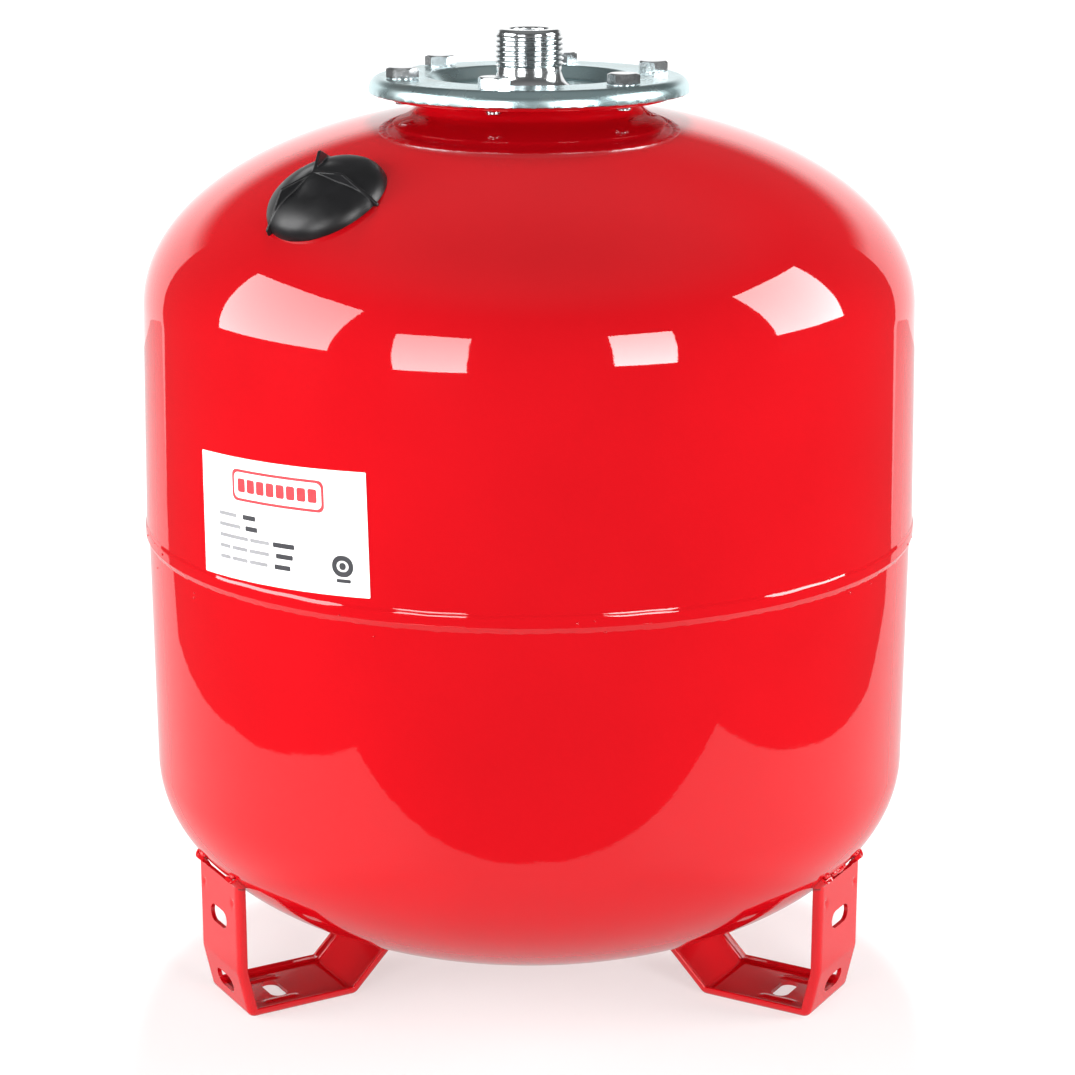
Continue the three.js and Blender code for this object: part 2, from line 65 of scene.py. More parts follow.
# Each dome is a superellipse: base height, radius, height, power and direction.
UPPER_DOME = {"base": 323.3, "radius": 180.9, "height": 93.5, "power": 2.04, "up": 1}
LOWER_DOME = {"base": 105, "radius": 181.3, "height": 90, "power": 2.1, "up": -1}

NECK_RADIUS = 51
NECK_TOP_Z = 421.3
NECK_FILLET = 7.5
NECK_SLOPE = math.radians(10.8)

RING_INNER = 51.2
RING_OUTER = 66
RING_Z = (418.4, 424.3)
RING_SEAT_RADIUS = 55.6         # the recess that holds the membrane's lip
RING_SEAT_Z = 421.6

BAG_WALL = 1.7
BAG_RADIUS = 112
BAG_DEPTH = 140                 # from its widest place down to its bottom
BAG_BELLY_Z = 290
BAG_NECK_RADIUS = 49.3
BAG_NECK_Z = 409
BAG_LIP_RADIUS = 55.2
BAG_LIP_Z = (421.9, 424.3)

BOLT_COUNT = 6
BOLT_CIRCLE = 60
BOLT_FIRST_AZIMUTH = 45
BOLT_HEAD_HEIGHT = 4.8
BOLT_TURNS = (15, -12, 5, 10, 13, -2)
BOLT_FLATS = 13
BOLT_LENGTH = 12
BOLT_SHANK = 4
BOLT_SHANK_TOP = -0.6
BOLT_WASHER = 5.9
BOLT_PITCH = 1.25

FLANGE_TOP_Z = 428.3
FLANGE_SHEET = 3.0
FLANGE_RADIUS = 74.3
FLANGE_RIM_Z = 420.9
FLANGE_RIM_BEND = 5.6
FLANGE_RIM_INNER = 71.9
FLANGE_BORE = 13.4
DISH_FLOOR_Z = 422.6
DISH_INNER = (41.5, 47)         # the dish's radius on its upper face, at its floor and its top
DISH_OUTER = (43.2, 48.4)       # the same on its lower face

NIPPLE_TOP_Z = 449.5
NIPPLE_RADIUS = 16.0
NIPPLE_ROOT = 14.9
NIPPLE_BORE = 9
NIPPLE_THREAD_Z = 432.5
NIPPLE_PITCH = 2.309
NIPPLE_THREAD_DEPTH = 1.2
NIPPLE_LEAD = 2.4               # plain length above the thread
NIPPLE_LEAD_RADIUS = 15.2
NIPPLE_SPIGOT = 13
NIPPLE_SPIGOT_Z = 417.5
NIPPLE_FOOT = 21.5
NIPPLE_FLARE = (6.4, 8.6)       # width and height of the flare above the foot
NIPPLE_FLARE_TOP_Z = 431.5

VALVE_AZIMUTH = -40.3
VALVE_DOME_RADIUS = 135.3
VALVE_HOLE = 5.3
VALVE_BORE = 2.3
VALVE_SHANK = 4.9
VALVE_COLLAR = 8.5
VALVE_STEM = 3.9
VALVE_STEM_Z = (2.6, 8)
VALVE_PITCH = 0.794

CAP_RADIUS = 27.8
CAP_HEIGHT = 13.6
CAP_POWER = 2.3
CAP_WALL = 1.5
CAP_RIM_DROP = 2.76
CAP_FIN_TURN = -28.5
CAP_BOSS = (2.9, 14)            # height of the rise between the fins, and its radius
CAP_SKIRT_Z = -8
CAP_SOCKET_RADII = (4.4, 5.9)
CAP_SOCKET_Z = 5.6
CAP_FIN_THICKNESS = 1.5
CAP_FIN_REACH = 29.8
CAP_FIN_TOP_Z = 16.7

FOOT_AZIMUTHS = {"left": -60, "right": 60, "rear": 180}
FOOT_WIDTH = 45
FOOT_SHEET = 2
LEG_RADIUS = 168.4
KNEE_Z = 23.5
BASE_OUTER = 163.4
BASE_INNER = 108.2
INNER_RISE = 32
EAR_BEND_Z = 67
EAR_REACH = 2.6
EAR_SLOPE = math.radians(40)
EAR_SHOULDER_Z = 66.3
EAR_SIDES = (13, 19.5)          # an ear's inner and outer edge, from the foot's middle
FOOT_FLANGE = 3.4               # height of the turned-up edges
SLOT_LENGTH = 18
SLOT_WIDTH = 8.6
BASE_SLOT_RADIUS = 141
LEG_SLOTS_Z = (45, 12)
BASE_WELD_RADIUS = 84.2

LABEL_AZIMUTH = -36.6
LABEL_SIZE = (95, 54.5)
LABEL_CENTRE_Z = 251.3
LABEL_TURN = math.radians(1.9)

CAMERA_PLACE = (0.00384, -1.3139, 0.56206)
CAMERA_LENS = 94.27
CAMERA_TILT = math.radians(15.15)


# --- Outlines ---

def rounded(corners, steps=6, closed=True):
    """Points of a polygon whose corners (x, y, radius) are rounded."""
    points = []
    count = len(corners)
    for i, corner in enumerate(corners):
        here = Vector(corner[:2])
        radius = corner[2] if len(corner) > 2 else 0
        at_end = not closed and i in (0, count - 1)
        if radius == 0 or at_end:
            points.append(tuple(here))
            continue
        back = (Vector(corners[i - 1][:2]) - here).normalized()
        ahead = (Vector(corners[(i + 1) % count][:2]) - here).normalized()
        half = back.angle(ahead) / 2
        centre = here + (back + ahead).normalized() * (radius / math.sin(half))
        start = here + back * (radius / math.tan(half)) - centre
        sweep = start.angle_signed(here + ahead * (radius / math.tan(half)) - centre)
        for step in range(steps + 1):
            turn = Matrix.Rotation(-sweep * step / steps, 2)
            points.append(tuple(centre + turn @ start))
    return points


def split_long(points, longest, closed=True):
    """Adds points so that no side of an outline is longer than the given length."""
    result = []
    count = len(points) if closed else len(points) - 1
    for i in range(count):
        start = np.array(points[i])
        end = np.array(points[(i + 1) % len(points)])
        parts = max(1, math.ceil(np.linalg.norm(end - start) / longest))
        result += [tuple(start + (end - start) * k / parts) for k in range(parts)]
    if not closed:
        result.append(points[-1])
    return result


def dome_outline(dome, inset, end_radius, steps):
    """Outline of a dome from its base to a radius, drawn in from its outside by inset."""
    radius = dome["radius"] - inset
    height = dome["height"] - inset
    end = math.acos((end_radius / radius) ** (dome["power"] / 2))
    angle = np.linspace(0, end, steps + 1)
    r = radius * np.maximum(np.cos(angle), 0) ** (2 / dome["power"])
    r[-1] = end_radius
    z = dome["base"] + dome["up"] * height * np.sin(angle) ** (2 / dome["power"])
    return list(zip(r.tolist(), z.tolist()))


def dome_height(dome, r):
    """Height of a dome's outside at a distance from the axis."""
    rise = dome["height"] * (1 - (r / dome["radius"]) ** dome["power"]) ** (1 / dome["power"])
    return dome["base"] + dome["up"] * rise


def dome_slope(dome, r):
    """Slope of a dome's outside from the horizontal, as an angle."""
    step = 0.01
    fall = dome_height(dome, r - step) - dome_height(dome, r + step)
    return math.atan(abs(fall) / (2 * step))


def ease(t):
    """Smooth step from 0 to 1."""
    t = np.clip(t, 0, 1)
    return t * t * (3 - 2 * t)


def wall_radius(z):
    """Outside radius of the upper shell's straight wall, joggle and mouth."""
    low, high = JOGGLE_Z
    slant = (z - high) / (UPPER_DOME["base"] - high)
    side = JOGGLE_RADIUS + (UPPER_DOME["radius"] - JOGGLE_RADIUS) * np.clip(slant, 0, 1)
    return MOUTH_RADIUS + (side - MOUTH_RADIUS) * ease((z - low) / (high - low))


def upper_shell_side(inset):
    """Outline of the upper shell, from its mouth up to the neck's top."""
    bend = NECK_FILLET + inset
    centre_r = NECK_RADIUS + NECK_FILLET
    end_radius = centre_r - bend * math.sin(NECK_SLOPE)
    low, high = JOGGLE_Z
    side_z = np.concatenate([
        np.linspace(MOUTH_Z, low, 4)[:-1],
        np.linspace(low, high, 25)[:-1],
        np.linspace(high, UPPER_DOME["base"], 70)[:-1],
    ])
    side = [(float(wall_radius(z)) - inset, float(z)) for z in side_z]
    dome = dome_outline(UPPER_DOME, inset, end_radius, 90)
    centre_z = dome[-1][1] + bend * math.cos(NECK_SLOPE)
    fillet = []
    for angle in np.linspace(1.5 * math.pi - NECK_SLOPE, math.pi, 13)[1:]:
        fillet.append((centre_r + bend * math.cos(angle), centre_z + bend * math.sin(angle)))
    return side + dome + fillet + [(NECK_RADIUS - inset, NECK_TOP_Z)]


def lower_shell_side(inset):
    """Outline of the lower shell, from its bottom up to the top of its spigot."""
    dome = dome_outline(LOWER_DOME, inset, 0, 110)[::-1]
    base = dome[-1]
    end = (SPIGOT_RADIUS - inset, SPIGOT_TOP_Z)
    return dome + split_long([base, end], 3, closed=False)[1:]


# --- Shape functions: they move the points of a turned surface ---

def sheet_waves(angle, z):
    """Radial unevenness of the drawn shells, in millimetres."""
    waves = (
        (0.030, 3, 0.009, 0.4), (0.012, 7, 0.021, 1.9), (0.006, 11, -0.033, 4.2),
        (0.003, 19, 0.056, 2.7), (0.0015, 31, -0.083, 5.5),
    )
    return sum(a * np.sin(k * angle + m * z + p) for a, k, m, p in waves)


def wavy(radius, z, angle):
    """A shell's waves, which fade out towards the axis, and the wandering of its joggle."""
    fade = ease((radius - 60) / 60)
    wander = 0.14 * (np.sin(5 * angle + 1) + np.sin(17 * angle) + np.sin(43 * angle + 2))
    at_joggle = np.exp(-((z - sum(JOGGLE_Z) / 2) / 2) ** 2)
    return radius + fade * sheet_waves(angle, z), z + wander * at_joggle


def thread_groove(z, angle, pitch):
    """Depth of a right-hand thread's groove, from 0 on the crest to 1 at the root."""
    phase = (z / pitch - angle / TAU) % 1
    return ease((np.abs(2 * phase - 1) - 0.1) / 0.8)


def threaded(top_z, bottom_z, crest, depth, pitch, chamfer):
    """A shape function that cuts a thread between two heights, with 45 degree chamfers."""
    def shape(radius, z, angle):
        cut = crest - depth * thread_groove(z, angle, pitch)
        cut = np.minimum(cut, crest - chamfer + (top_z - z))
        cut = np.minimum(cut, crest - chamfer + (z - bottom_z))
        inside = (z >= bottom_z) & (z <= top_z) & (radius > crest - 0.01)
        return np.where(inside, cut, radius), z
    return shape


# --- Solids ---

def grid_faces(rows, columns, close_rows, close_columns):
    """Quads of a grid of points stored row by row."""
    row = np.arange(rows if close_rows else rows - 1)[:, None]
    column = np.arange(columns if close_columns else columns - 1)[None, :]
    next_row = (row + 1) % rows
    next_column = (column + 1) % columns
    corners = [
        row * columns + column,
        next_row * columns + column,
        next_row * columns + next_column,
        row * columns + next_column,
    ]
    return np.stack(np.broadcast_arrays(*corners), axis=-1).reshape(-1, 4).tolist()


def revolve(outline, sides, shape=None):
    """Points and faces of a surface turned about the Z axis."""
    outline = np.array(outline, float)
    angle = (np.arange(sides) * TAU / sides)[:, None]
    radius = np.broadcast_to(outline[:, 0], (sides, len(outline)))
    z = np.broadcast_to(outline[:, 1], radius.shape)
    if shape:
        radius, z = shape(radius, z, angle)
    points = np.stack([radius * np.sin(angle), -radius * np.cos(angle), z], axis=-1)
    on_axis = outline[0, 0] < 1e-6 and outline[-1, 0] < 1e-6
    return points.reshape(-1, 3), grid_faces(sides, len(outline), True, not on_axis)


def add_solid(name, shape, place=Matrix.Identity(4)):
    """A mesh object from points in millimetres and faces."""
    points, faces = shape
    mesh = bpy.data.meshes.new(name)
    mesh.from_pydata((np.asarray(points, float) * MM).tolist(), [], faces)
    tidy = bmesh.new()
    tidy.from_mesh(mesh)
    bmesh.ops.remove_doubles(tidy, verts=tidy.verts, dist=1e-6)
    bmesh.ops.dissolve_degenerate(tidy, edges=tidy.edges, dist=1e-6)
    tidy.to_mesh(mesh)
    tidy.free()
    mesh.transform(place)
    obj = bpy.data.objects.new(name, mesh)
    bpy.context.collection.objects.link(obj)
    return obj


def settle(obj):
    """Replaces an object's mesh by what its modifiers make of it."""
    graph = bpy.context.evaluated_depsgraph_get()
    result = bpy.data.meshes.new_from_object(obj.evaluated_get(graph))
    obj.modifiers.clear()
    obj.data = result


def join(objects):
    """Puts several meshes into the first object."""
    whole = bmesh.new()
    for obj in objects:
        whole.from_mesh(obj.data)
    whole.to_mesh(objects[0].data)
    whole.free()
    for obj in objects[1:]:
        bpy.data.objects.remove(obj)
    return objects[0]


def carve(obj, tool):
    """Cuts a tool from an object and deletes the tool."""
    cutter = obj.modifiers.new("cut", "BOOLEAN")
    cutter.operation = "DIFFERENCE"
    cutter.solver = "EXACT"
    cutter.object = tool
    settle(obj)
    bpy.data.objects.remove(tool)


def add_piece(obj, material, node=None, body="vessel", sharp_degrees=40):
    """Finishes a shown piece: its shading, material, body and the node it stands for."""
    obj.data.shade_smooth()
    obj.data.set_sharp_from_angle(angle=math.radians(sharp_degrees))
    obj.data.materials.clear()
    obj.data.materials.append(material)
    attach(obj, body)
    if node:
        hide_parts(node)
    return obj


def turned(azimuth):
    """Turn about the Z axis."""
    return Matrix.Rotation(math.radians(azimuth), 4, "Z")


def around(azimuth, radius, z):
    """The point at an azimuth, radius and height, in millimetres."""
    angle = math.radians(azimuth)
    return Vector((radius * math.sin(angle), -radius * math.cos(angle), z))


def drill(azimuth, radius, bottom, top):
    """An upright rod that drills a hole on the bolt circle."""
    rod = revolve([(0, bottom), (radius, bottom), (radius, top), (0, top)], 48)
    return add_solid("drill", rod, Matrix.Translation(around(azimuth, BOLT_CIRCLE, 0) * MM))


def bolt_azimuths():
    return [BOLT_FIRST_AZIMUTH + 360 / BOLT_COUNT * number for number in range(BOLT_COUNT)]


def bolt_drills(radius, bottom, top):
    return join([drill(azimuth, radius, bottom, top) for azimuth in bolt_azimuths()])


def bead(centres, across, sides, size, roughness, seed):
    """A weld bead: a tube along points, whose thickness wanders. across is its flat direction."""
    centres = np.array(centres, float)
    count = len(centres)
    angle = np.linspace(0, TAU, sides, endpoint=False)
    rows = []
    for i in range(count):
        before = centres[max(i - 1, 0)]
        after = centres[min(i + 1, count - 1)]
        along = (after - before) / np.linalg.norm(after - before)
        side = np.array(across[i], float)
        side -= along * (side @ along)
        side /= np.linalg.norm(side)
        up = np.cross(along, side)
        lump = 1 + roughness * noise.noise(Vector(centres[i] * 0.35) + Vector((seed, 0, 0)))
        lump += roughness * 0.6 * noise.noise(Vector(centres[i] * 0.9) + Vector((0, seed, 0)))
        taper = math.sin(math.pi * (i + 0.35) / (count - 0.3)) ** 0.5
        ring = np.cos(angle)[:, None] * side * size[0] + np.sin(angle)[:, None] * up * size[1]
        rows.append(centres[i] + ring * lump * taper)
    points = np.concatenate(rows)
    faces = grid_faces(count, sides, False, True)
    faces.append(list(range(sides)))
    faces.append(list(range(len(points) - 1, len(points) - sides - 1, -1)))
    return points, faces


# --- Materials ---

class Material:
    """A Principled material with helpers for its node tree."""

    def __init__(self, name, **values):
        self.data = bpy.data.materials.new(name)
        self.data.use_nodes = True
        self.nodes = self.data.node_tree.nodes
        self.links = self.data.node_tree.links
        self.shader = self.nodes["Principled BSDF"]
        for key, value in values.items():
            self.shader.inputs[key.replace("_", " ")].default_value = value
        self.place = self.nodes.new("ShaderNodeTexCoord").outputs["Object"]
        self.bump_out = None

    def noise(self, scale, detail=2, roughness=0.5, stretch=None):
        """A noise value over the object, with the scale in cells per metre."""
        texture = self.nodes.new("ShaderNodeTexNoise")
        texture.inputs["Scale"].default_value = scale
        texture.inputs["Detail"].default_value = detail
        texture.inputs["Roughness"].default_value = roughness
        source = self.place
        if stretch:
            mapping = self.nodes.new("ShaderNodeMapping")
            mapping.inputs["Scale"].default_value = stretch
            self.links.new(source, mapping.inputs["Vector"])
            source = mapping.outputs["Vector"]
        self.links.new(source, texture.inputs["Vector"])
        return texture.outputs["Fac"]

    def ramp(self, value, stops):
        """A colour ramp over a value: stops are (position, colour)."""
        node = self.nodes.new("ShaderNodeValToRGB")
        elements = node.color_ramp.elements
        while len(elements) < len(stops):
            elements.new(0.5)
        for element, (position, colour) in zip(elements, stops):
            element.position = position
            element.color = (*colour, 1)
        self.links.new(value, node.inputs["Fac"])
        return node.outputs["Color"]

    def spread(self, value, low, high):
        """Maps the middle of a noise value onto a range."""
        node = self.nodes.new("ShaderNodeMapRange")
        node.inputs["From Min"].default_value = 0.3
        node.inputs["From Max"].default_value = 0.7
        node.inputs["To Min"].default_value = low
        node.inputs["To Max"].default_value = high
        self.links.new(value, node.inputs["Value"])
        return node.outputs["Result"]

    def set(self, socket, value):
        self.links.new(value, self.shader.inputs[socket])

    def bump(self, height, depth_mm):
        """Adds bumps of the given depth to the surface and its coat."""
        node = self.nodes.new("ShaderNodeBump")
        node.inputs["Strength"].default_value = 1.0
        node.inputs["Distance"].default_value = depth_mm * MM
        self.links.new(height, node.inputs["Height"])
        if self.bump_out:
            self.links.new(self.bump_out, node.inputs["Normal"])
        self.bump_out = node.outputs["Normal"]
        self.links.new(self.bump_out, self.shader.inputs["Normal"])
        self.links.new(self.bump_out, self.shader.inputs["Coat Normal"])


def red_paint():
    paint = Material(
        "red_paint", Roughness=0.5, Coat_Weight=1.0, Coat_Roughness=0.03, Coat_IOR=1.56,
    )
    paint.shader.inputs["Specular IOR Level"].default_value = 0.0
    cloud = paint.noise(14, 3)
    paint.set("Base Color", paint.ramp(cloud, [
        (0.3, (0.43, 0.0016, 0.0050)),
        (0.7, (0.46, 0.0020, 0.0058)),
    ]))
    paint.bump(paint.noise(30, 2, 0.4, (1, 1, 0.6)), 0.03)
    paint.bump(paint.noise(260, 2, 0.5), 0.008)
    return paint.data


def zinc_plate():
    zinc = Material("zinc_plate", Metallic=1.0)
    cloud = zinc.noise(40, 4, 0.6)
    zinc.set("Base Color", zinc.ramp(cloud, [
        (0.3, (0.52, 0.71, 0.74)),
        (0.55, (0.58, 0.75, 0.77)),
        (0.75, (0.64, 0.74, 0.73)),
    ]))
    zinc.set("Roughness", zinc.spread(zinc.noise(40, 2, 0.5), 0.24, 0.30))
    zinc.bump(zinc.noise(900, 3, 0.6), 0.003)
    return zinc.data


def bright_zinc():
    zinc = Material("bright_zinc", Metallic=1.0)
    cloud = zinc.noise(120, 3)
    zinc.set("Base Color", zinc.ramp(cloud, [
        (0.3, (0.62, 0.65, 0.67)),
        (0.7, (0.74, 0.76, 0.77)),
    ]))
    zinc.set("Roughness", zinc.spread(zinc.noise(700, 3, 0.6), 0.14, 0.24))
    zinc.bump(zinc.noise(1500, 3, 0.6), 0.008)
    return zinc.data


def machined_steel():
    steel = Material("machined_steel", Metallic=1.0)
    rings = steel.noise(900, 2, 0.5, (0.02, 0.02, 3))
    steel.set("Base Color", steel.ramp(steel.noise(60, 3), [
        (0.3, (0.60, 0.62, 0.63)),
        (0.7, (0.74, 0.76, 0.77)),
    ]))
    steel.set("Roughness", steel.spread(rings, 0.08, 0.2))
    steel.bump(rings, 0.006)
    return steel.data


def nickel():
    plate = Material("nickel", Metallic=1.0)
    plate.set("Base Color", plate.ramp(plate.noise(200, 3), [
        (0.3, (0.60, 0.58, 0.52)),
        (0.7, (0.70, 0.68, 0.62)),
    ]))
    plate.set("Roughness", plate.spread(plate.noise(900, 2), 0.12, 0.25))
    plate.bump(plate.noise(1500, 2), 0.005)
    return plate.data


def brass():
    metal = Material("brass", Metallic=1.0)
    metal.set("Base Color", metal.ramp(metal.noise(300, 3), [
        (0.3, (0.55, 0.37, 0.12)),
        (0.7, (0.66, 0.46, 0.17)),
    ]))
    metal.set("Roughness", metal.spread(metal.noise(1200, 2), 0.2, 0.4))
    metal.bump(metal.noise(1800, 2), 0.005)
    return metal.data


def black_plastic():
    plastic = Material("black_plastic")
    plastic.shader.inputs["Specular IOR Level"].default_value = 0.38
    plastic.set("Base Color", plastic.ramp(plastic.noise(70, 4, 0.6), [
        (0.35, (0.003, 0.003, 0.0035)),
        (0.75, (0.007, 0.007, 0.008)),
    ]))
    plastic.set("Roughness", plastic.spread(plastic.noise(90, 5, 0.65), 0.34, 0.46))
    plastic.bump(plastic.noise(1600, 3, 0.6), 0.012)
    return plastic.data


def rubber():
    material = Material("rubber")
    material.set("Base Color", material.ramp(material.noise(30, 4), [
        (0.3, (0.012, 0.0115, 0.011)),
        (0.7, (0.022, 0.021, 0.020)),
    ]))
    material.set("Roughness", material.spread(material.noise(150, 4), 0.6, 0.8))
    material.bump(material.noise(800, 3), 0.03)
    return material.data


def film(name, colour, darker, roughness):
    """Printed label film: one ink, with a faint unevenness."""
    ink = Material(name)
    ink.set("Base Color", ink.ramp(ink.noise(90, 3), [(0.3, darker), (0.7, colour)]))
    ink.set("Roughness", ink.spread(ink.noise(300, 2), roughness, roughness + 0.1))
    ink.bump(ink.noise(500, 2), 0.004)
    return ink.data


PAINT = red_paint()
ZINC = zinc_plate()
BOLT_ZINC = bright_zinc()
STEEL = machined_steel()
NICKEL = nickel()
BRASS = brass()
PLASTIC = black_plastic()
RUBBER = rubber()
FILM_WHITE = film("film_white", (0.90, 0.90, 0.89), (0.87, 0.87, 0.86), 0.3)
FILM_RED = film("film_red", (0.72, 0.02, 0.03), (0.66, 0.015, 0.025), 0.35)
FILM_GREY = film("film_grey", (0.26, 0.26, 0.27), (0.22, 0.22, 0.23), 0.4)
FILM_DARK = film("film_dark", (0.03, 0.03, 0.035), (0.02, 0.02, 0.025), 0.4)


# --- Tank ---

def valve_place():
    """Stands the valve's axis on the dome, with z = 0 at its foot."""
    foot_z = dome_height(UPPER_DOME, VALVE_DOME_RADIUS)
    foot = around(VALVE_AZIMUTH, VALVE_DOME_RADIUS, foot_z)
    lean = Matrix.Rotation(dome_slope(UPPER_DOME, VALVE_DOME_RADIUS), 4, "X")
    return Matrix.Translation(foot * MM) @ turned(VALVE_AZIMUTH) @ lean


def build_tank():
    outline = upper_shell_side(0) + upper_shell_side(WALL)[::-1]
    upper = add_solid("tank_upper", revolve(outline, SHELL_SIDES, wavy))
    hole = revolve([(0, -6), (VALVE_HOLE, -6), (VALVE_HOLE, 6), (0, 6)], 48)
    carve(upper, add_solid("hole", hole, valve_place()))
    add_piece(upper, PAINT, "upper_shell")

    outline = lower_shell_side(0) + lower_shell_side(WALL)[::-1]
    lower = add_solid("tank_lower", revolve(outline, SHELL_SIDES, wavy))
    add_piece(lower, PAINT, "lower_shell")


def build_seam():
    """The seam's fillet weld: a sloping bead round the tank, with a few grains of spatter."""
    toe_z = SEAM_Z - 1.6
    inner = SPIGOT_RADIUS - 0.4
    outline = split_long(rounded([
        (inner, toe_z), (SPIGOT_RADIUS + 0.1, toe_z, 0.3), (MOUTH_RADIUS - 0.05, MOUTH_Z, 0.5),
        (MOUTH_RADIUS - 0.5, MOUTH_Z + 0.4), (inner, MOUTH_Z + 0.4),
    ], 4), 0.6)

    def lumpy(radius, z, angle):
        """An uneven toe, a lumpy face and a clean upper edge."""
        toe = sum(np.sin(k * angle + k) for k in (13, 37, 71, 126, 190)) / 5
        lumps = sum(np.sin(k * angle + 1.7 * z + k) for k in (23, 58, 97, 161)) / 4
        share = np.clip((MOUTH_Z - z) / (MOUTH_Z - toe_z), 0, 1)
        outside = ease((radius - inner) / 0.3)
        return radius + 0.10 * lumps * share * (1 - share) * 4 * outside, z + 0.45 * toe * share

    parts = [add_solid("seam_bead", revolve(outline, 1200, lumpy))]
    random = np.random.default_rng(11)
    for _ in range(34):
        azimuth = random.uniform(0, 360)
        z = SEAM_Z + random.normal(0, 5)
        size = random.uniform(0.3, 0.7)
        wall = float(wall_radius(z)) if z > MOUTH_Z else SPIGOT_RADIUS
        place = Matrix.Translation(around(azimuth, wall - 0.1, z) * MM)
        grain = [(0, -size), (size * 0.8, -size * 0.6), (size, 0), (size * 0.8, size * 0.6), (0, size)]
        parts.append(add_solid("grain", revolve(grain, 10), place))
    add_piece(join(parts), PAINT, "seam_weld", sharp_degrees=80)


def build_membrane():
    """The rubber bag, hung from the lip that the flange clamps."""
    def side(inset):
        belly = BAG_RADIUS - inset
        depth = BAG_DEPTH - inset
        neck = BAG_NECK_RADIUS - inset
        points = []
        for angle in np.linspace(0, math.pi / 2, 30):
            points.append((belly * math.sin(angle), BAG_BELLY_Z - depth * math.cos(angle)))
        for t in np.linspace(0, 1, 30)[1:]:
            z = BAG_BELLY_Z + (BAG_NECK_Z - BAG_BELLY_Z) * t
            points.append((belly + (neck - belly) * float(ease(t)), z))
        return points

    low, high = BAG_LIP_Z
    lip = [
        (BAG_NECK_RADIUS, low), (BAG_LIP_RADIUS, low), (BAG_LIP_RADIUS, high),
        (BAG_NECK_RADIUS - BAG_WALL, high),
    ]
    outline = side(0) + lip + side(BAG_WALL)[::-1]
    bag = add_solid("rubber_bag", revolve(outline, 128))
    add_piece(bag, RUBBER, "membrane")


# --- Neck ring, counter flange, nipple and bolts ---

def build_neck_ring():
    low, high = RING_Z
    outline = rounded([
        (RING_INNER, low, 0.3), (RING_OUTER, low, 0.8), (RING_OUTER, high, 0.5),
        (RING_SEAT_RADIUS, high, 0.2), (RING_SEAT_RADIUS, RING_SEAT_Z), (RING_INNER, RING_SEAT_Z),
    ], 4)
    ring = add_solid("flange_ring", revolve(outline, 192))
    carve(ring, bolt_drills(4.1, low - 3, high + 3))
    add_piece(ring, PAINT, "neck_ring")


def build_flange():
    under = FLANGE_TOP_Z - FLANGE_SHEET
    floor = DISH_FLOOR_Z - FLANGE_SHEET
    inner_bend = FLANGE_RIM_BEND - FLANGE_SHEET
    outline = rounded([
        (FLANGE_BORE, floor), (DISH_OUTER[0], floor, 1.2), (DISH_OUTER[1], under, 3),
        (FLANGE_RIM_INNER, under, inner_bend), (FLANGE_RIM_INNER, FLANGE_RIM_Z, 0.2),
        (FLANGE_RADIUS, FLANGE_RIM_Z, 0.5), (FLANGE_RADIUS, FLANGE_TOP_Z, FLANGE_RIM_BEND),
        (DISH_INNER[1], FLANGE_TOP_Z, 3.6), (DISH_INNER[0], DISH_FLOOR_Z, 3.6),
        (FLANGE_BORE, DISH_FLOOR_Z),
    ], 10)
    outline = split_long(outline, 2.5)

    def sheared(radius, z, angle):
        """Ragged lower edge of the rim, and a slight waviness of the pressed plate."""
        ragged = sum(np.sin(k * angle + k * k) for k in (41, 67, 113, 151)) / 4
        at_edge = (z < FLANGE_RIM_Z + 0.6) & (radius > 70)
        z = np.where(at_edge, z + 0.22 * ragged, z)
        radius = np.where(at_edge, radius + 0.08 * np.sin(59 * angle + 1), radius)
        return radius, z + 0.05 * np.sin(3 * angle) * ease((radius - 45) / 20)

    plate = add_solid("flange_plate", revolve(outline, 384, sheared))
    carve(plate, bolt_drills(4.5, floor - 3, FLANGE_TOP_Z + 3))
    add_piece(plate, ZINC, "counter_flange")


def build_nipple():
    """The G 1 nipple, with a real helical thread."""
    width, height = NIPPLE_FLARE
    flare = []
    for angle in np.linspace(0, math.pi / 2, 14):
        z = NIPPLE_FLARE_TOP_Z - height * math.cos(angle)
        flare.append((NIPPLE_FOOT - width * math.sin(angle), z))
    low, high = NIPPLE_THREAD_Z, NIPPLE_TOP_Z - NIPPLE_LEAD
    side = split_long([(NIPPLE_RADIUS, low), (NIPPLE_RADIUS, high)], 0.17, closed=False)
    outline = (
        [(NIPPLE_BORE, NIPPLE_SPIGOT_Z), (NIPPLE_SPIGOT, NIPPLE_SPIGOT_Z)]
        + [(NIPPLE_SPIGOT, DISH_FLOOR_Z), (NIPPLE_FOOT, DISH_FLOOR_Z)]
        + flare + [(NIPPLE_ROOT, low - 0.02)] + side
        + rounded([
            (NIPPLE_LEAD_RADIUS, high + 0.05), (NIPPLE_LEAD_RADIUS, NIPPLE_TOP_Z, 2.3),
            (NIPPLE_BORE, NIPPLE_TOP_Z, 0.9), (NIPPLE_BORE, NIPPLE_TOP_Z - 9.5),
        ], 8, False)
    )
    shape = threaded(high, low, NIPPLE_RADIUS, NIPPLE_THREAD_DEPTH, NIPPLE_PITCH, 0.8)
    nipple = add_solid("nipple", revolve(outline, 240, shape))
    add_piece(nipple, STEEL, "connection_nipple", sharp_degrees=60)


def hexagon_radius(angle, flats):
    """Distance from the middle of a hexagon to its side, in a direction."""
    sixth = TAU / 6
    return flats / 2 / np.cos((angle + sixth / 2) % sixth - sixth / 2)


